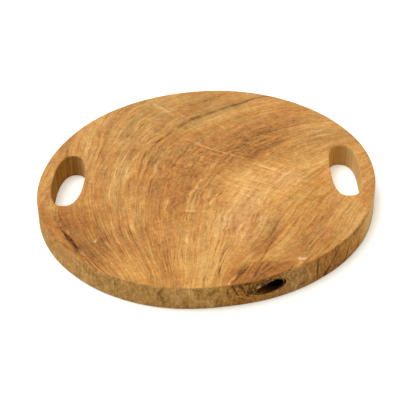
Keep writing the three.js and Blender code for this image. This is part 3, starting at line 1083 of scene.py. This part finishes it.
# %% Olive, oil and dust
PLAIN_SIDE_OLIVE = 0.50
SIDE_OLIVE = (  # x, y in mm, heading, reach along and across, amount
    (-110, -130, 145, 130, 60, 0.5), (-10, -172, 180, 60, 40, 0.22), (84, -152, 25, 17, 20, 0.55),
    (145, 13, 90, 60, 26, 0.75), (145, -92, 45, 50, 40, -0.38), (174, -40, 78, 40, 30, -0.3),
    # The patch at (-131, 24) is part of the painted light on the right wall of the left slot.
    (-146, 0, 90, 60, 20, 0.55), (-131, 24, 72, 26, 11, 0.6),
)
SIDE_DEEP = (  # where oil has soaked deepest into the side
    (142, -98, 50, 52, 40, 0.3), (40, -168, 10, 26, 30, 0.5), (-158, -2, 90, 60, 14, 0.8),
    (133, 32, 90, 60, 12, 0.8),
)
TOP_DEEP = (
    (40, -152, 15, 34, 14, 0.3), (-50, -152, -15, 30, 14, 0.22), (102, -36, 60, 30, 20, 0.15),
    (52, 62, 45, 34, 20, 0.15), (-128, -78, 110, 30, 18, 0.15),
)
DUSTY = (  # where the wood is dry and pinkish
    (34, -66, 75, 34, 18, 0.4), (75, 0, 40, 18, 12, 0.25), (-109.5, -105.5, 75, 3, 1.6, 0.75),
    (89, -132, 15, 5, 2.2, 0.7), (86, -154, 25, 15, 8, 0.4),
)

side_olive = total_of(tree, place, SIDE_OLIVE, PLAIN_SIDE_OLIVE)
olive = add(tree, "Mix", {0: covered, 2: olive, 3: side_olive}, data_type="FLOAT")
deep = total_of(tree, place, SIDE_DEEP)
deep = add(tree, "Math", (deep, on_side), operation="MULTIPLY", use_clamp=True)
deep = add(tree, "Math", (deep, total_of(tree, place, TOP_DEEP)), operation="MAXIMUM")
dusty = total_of(tree, place, DUSTY)
print("olive, oil and dust:", len(tree.nodes), "nodes")

# %% Dark lines on the side
# Growth lines that the saw cut across show near the knot and right of it as dark slanting lines, and two
# level lines under the top edge at the right front are painted shade. The foot of the side is painted dark
# all round as the shade where it meets the floor.
SIDE_LINES = (  # bearing in degrees, height in mm, tilt in degrees, reach along and across in mm, amount
    (-51, 15.5, 84, 9, 1.2, -0.5), (-46.4, 6.5, 45, 4.5, 1.1, -0.5),
    (-47.7, 4, 20, 3, 2, -0.4), (-42.8, 16.5, 49, 6.5, 1, -0.45),
    (-35.7, 11.5, 60, 7.5, 1, -0.5), (-37.5, 3.5, 20, 4, 1.8, -0.35),
    (-57.2, 5.5, 15, 4, 1.8, -0.35), (-54, 10, 75, 9, 3, 0.12),
    (-83.5, 17, 100, 5, 1, -0.35), (-81, 18, 115, 5, 0.9, -0.4),
    (-78.5, 18, 120, 6, 1.2, -0.35), (-95.3, 16, 90, 9, 0.8, 0.25),
    (-76, 24.5, 0, 15, 1.8, -0.24), (-78.5, 9.5, -20, 7, 0.8, 0.35),
    (-68, 25, 0, 12, 1.8, -0.15), (-104.5, 19, 60, 4, 2, -0.35),
    (-103.5, 11, 110, 4.5, 1.8, -0.3), (-88, 20, 30, 4, 2, -0.25),
    # the next two level lines just under the top edge are painted shade under that edge
    (-22, 23.5, 0, 20, 1, -0.55), (-31, 23, 0, 16, 1, -0.4),
    (-28, 9, 65, 9, 1.1, -0.4),
)
SIDE_LINE_DEPTH = 5.0
CONTACT_SHADE_LINE = (1.3, 0.2)  # mm up the side, where the painted shade at the foot starts and where it is full
CONTACT_SHADE_NORMAL = (0.99, 0.9)  # upward part of the normal, which keeps the painted shade off the underside
CONTACT_SHADE_TONE = -0.7

side_lines = 0.0
for bearing, up, tilt, long_reach, short_reach, amount in SIDE_LINES:
    turn = math.radians(bearing)
    spot = in_from_rim(turn, -foot_spread(turn) * (1 - up * MM / thickness)) / MM
    spot.z = up
    line = soft_patch(tree, place, spot, bearing, (SIDE_LINE_DEPTH, long_reach, short_reach), tilt=tilt)
    side_lines = weighted(tree, side_lines, (line, amount))
tone = add(tree, "Math", (side_lines, on_side, tone), operation="MULTIPLY_ADD")
# painted shade along the foot of the side, where it meets the floor
foot = add(tree, "MapRange", (height, *CONTACT_SHADE_LINE))
off_underside = add(tree, "MapRange", (flatness, *CONTACT_SHADE_NORMAL))
foot = add(tree, "Math", (foot, off_underside), operation="MULTIPLY")
tone = weighted(tree, tone, (foot, CONTACT_SHADE_TONE))
print("side lines:", len(tree.nodes), "nodes")

# %% [markdown]
# ## Teak: colour and sheen
# Four ramps turn the tone into colour: warm wood, olive wood, wood that is soaked with oil, and dry dusty
# wood. Each of the last three is mixed in by its own share. The roughness is that of bare sanded wood with
# a trace of oil, a little duller in the pores and on the side, and the streaks and pores give a very low
# bump.

# %% Colours
WARM_TEAK = (
    (0.0, "#7a4514"), (0.3, "#b06d2e"), (0.5, "#c5813a"),
    (0.7, "#da984a"), (0.85, "#eaa753"), (1.0, "#f5be71"),
)
OLIVE_TEAK = ((0.0, "#6a4a1e"), (0.35, "#a4793b"), (0.65, "#ca9b57"), (1.0, "#e9c27c"))
OILED_TEAK = ((0.0, "#4e2c04"), (0.35, "#a66c16"), (0.65, "#cf9634"), (1.0, "#ecbf62"))
DUSTY_TEAK = ((0.0, "#7a4a20"), (0.35, "#b07a48"), (0.65, "#d2a06c"), (1.0, "#efcb98"))

wood_colour = add(tree, "ValToRGB", (tone,), stops=WARM_TEAK)
for share, stops in ((olive, OLIVE_TEAK), (deep, OILED_TEAK), (dusty, DUSTY_TEAK)):
    mixed = {0: share, 6: wood_colour, 7: add(tree, "ValToRGB", (tone,), stops=stops)}
    wood_colour = add(tree, "Mix", mixed, output=2, data_type="RGBA")
print("colours:", len(tree.nodes), "nodes")

# %% Sheen and relief
WOOD_IOR = 1.45
WOOD_SPECULAR = 0.25
ROUGH_WOOD = 0.55
ROUGH_PORE = 0.14
ROUGH_SIDE = 0.3
PORE_RELIEF = -0.3
WOOD_BUMP = (0.35, 0.25 * MM)  # strength and height


def wood_surface(tree, colour, roughness, specular, relief, bump):
    strength, distance = bump
    lit = {
        "Base Color": colour,
        "Roughness": roughness,
        "IOR": WOOD_IOR,
        "Specular IOR Level": specular,
        "Normal": add(tree, "Bump", {"Height": relief, "Strength": strength, "Distance": distance}),
    }
    add(tree, "OutputMaterial", {"Surface": add(tree, "BsdfPrincipled", lit)})


roughness = weighted(tree, ROUGH_WOOD, (pore, ROUGH_PORE), (on_side, ROUGH_SIDE))
relief = weighted(tree, streak, (pore, PORE_RELIEF))
wood_surface(tree, wood_colour, roughness, WOOD_SPECULAR, relief, WOOD_BUMP)
print("teak:", len(tree.nodes), "nodes")

# %% [markdown]
# ## Knot wood
# The plug is dense, dark branch wood with rings round its heart, and the rotted heart is dark brown. Its
# rings are the squashed distance from the heart, made unsteady with noise. Shade in the rotted hole is
# painted into its colour, darker with depth below the side of the board, down to nearly black.

# %% Knot wood
FACE_COLOURS = ((0.32, "#3c230c"), (0.46, "#6b451b"), (0.6, "#8c622c"), (0.76, "#b48e55"))
FACE_RING = 0.10
GRIT_SIZE = 2.5
# the rot's own dark brown, then painted shade down to nearly black deep in the hole
ROT_AND_SHADE_COLOURS = ((0.0, "#7a4416"), (0.4, "#4a2006"), (0.75, "#160702"), (1.0, "#050201"))
ROT_FROM = 1.6  # mm below the side where the rot has taken over
SHADE_BLACK_DEPTH = 13.0  # mm below the side where the painted shade is darkest
SHADE_SIDEWAYS = 0.5  # how much sooner the painted shade gets dark towards the right
LIP_HIGHLIGHT_BEARING = math.radians(-73.3)  # a painted highlight on the pale lip at the left edge of the hole
LIP_HIGHLIGHT_HEIGHT = 17.5
LIP_HIGHLIGHT_REACH = (5.0, 1.8, 1.0)
LIP_HIGHLIGHT_TILT = 30.0
LIP_HIGHLIGHT_COLOUR = "#d2b184"
DULL_ROUGHNESS = 0.9
DULL_SPECULAR = 0.1  # rot and cork hardly shine
KNOT_BUMP = (0.5, 0.4 * MM)

knot_wood, tree, place = material_in_mm("branch_wood_weathered")
local, ring = knot_rings(tree, place)
grit = stretched_noise(tree, place, GRIT_SIZE, detail=3.0)
face = add(tree, "ValToRGB", (weighted(tree, grit, (ring, FACE_RING)),), stops=FACE_COLOURS)
inwards, rightwards = [add(tree, "SeparateXYZ", (local,), output=axis) for axis in "XY"]
# rotted is the painted shade of the hole, from the side down to its darkest
rotted = add(tree, "MapRange", (weighted(tree, inwards, (rightwards, -SHADE_SIDEWAYS)), 0.0, -SHADE_BLACK_DEPTH))
rot_and_shade_colour = add(tree, "ValToRGB", (rotted,), stops=ROT_AND_SHADE_COLOURS)
in_rot = add(tree, "MapRange", (inwards, 0.0, -ROT_FROM))
# a painted highlight on the pale lip at the left edge of the hole
lip_highlight_place = in_from_rim(LIP_HIGHLIGHT_BEARING, 0.0) / MM
lip_highlight_place.z = LIP_HIGHLIGHT_HEIGHT
lip_highlight = soft_patch(tree, place, lip_highlight_place, math.degrees(LIP_HIGHLIGHT_BEARING), LIP_HIGHLIGHT_REACH, tilt=LIP_HIGHLIGHT_TILT)
colour = face
for share, other in ((in_rot, rot_and_shade_colour), (lip_highlight, linear(LIP_HIGHLIGHT_COLOUR))):
    colour = add(tree, "Mix", {0: share, 6: colour, 7: other}, output=2, data_type="RGBA")
wood_surface(tree, colour, DULL_ROUGHNESS, DULL_SPECULAR, grit, KNOT_BUMP)
print("knot wood:", len(tree.nodes), "nodes")

# %% [markdown]
# ## Bark
# Grown-in bark is a dry, dark red-brown cork. Noise gives its crumbs and cracks, and the surface is as
# rough as wood gets. The thin seam and the tail of the pocket are sanded paler than the rest.

# %% Bark
BARK_COLOURS = ((0.38, "#4a2710"), (0.54, "#6a3e1c"), (0.68, "#a06c38"))
CRUMB_SIZE = 2.0
WORN_PALER = 0.12
WORN_SEAM = 20.0  # mm, reach round the middle of the seam
WORN_TAIL = 10.0  # mm, reach round the end of the tail
BARK_BUMP = (0.6, 0.4 * MM)

bark_cork, tree, place = material_in_mm("bark_grown_in")
cracks = stretched_noise(tree, place, CRUMB_SIZE, detail=4.0)
seam_middle = in_from_rim(FRONT_BARK_SEAM["bearing"], FRONT_BARK_SEAM["inset"]) / MM
tail_end = bark_point(BARK_POCKET, math.pi, 0.0, 0.0) / MM
for spot, reach in ((seam_middle, WORN_SEAM), (tail_end, WORN_TAIL)):
    cracks = weighted(tree, cracks, (soft_patch(tree, place, spot, 0.0, (reach, reach)), WORN_PALER))
colour = add(tree, "ValToRGB", (cracks,), stops=BARK_COLOURS)
wood_surface(tree, colour, DULL_ROUGHNESS, DULL_SPECULAR, cracks, BARK_BUMP)
print("bark:", len(tree.nodes), "nodes")

# %% [markdown]
# ## Putting the board together
# Each dressed piece takes its material, is shaded smooth except across sharp edges, is attached to the root
# body, and hides the CAD node that it stands for.

# %% Dress and tie
SHARP_EDGE = math.radians(40)

for piece, node, slot_name, material in (
    (slab, "teak_slab", "teak", teak),
    (knot, "dead_knot", "knot_wood", knot_wood),
    (pocket_bark, "bark_pocket", "bark", bark_cork),
    (seam_bark, "front_bark_seam", "bark", bark_cork),
):
    piece.data.materials.clear()
    piece.data.materials.append(material)
    piece.data.polygons.foreach_set("use_smooth", [True] * len(piece.data.polygons))
    piece.data.set_sharp_from_angle(angle=SHARP_EDGE)
    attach(piece, "root")
    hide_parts(node)
    print(piece.name, len(piece.data.polygons), "faces")
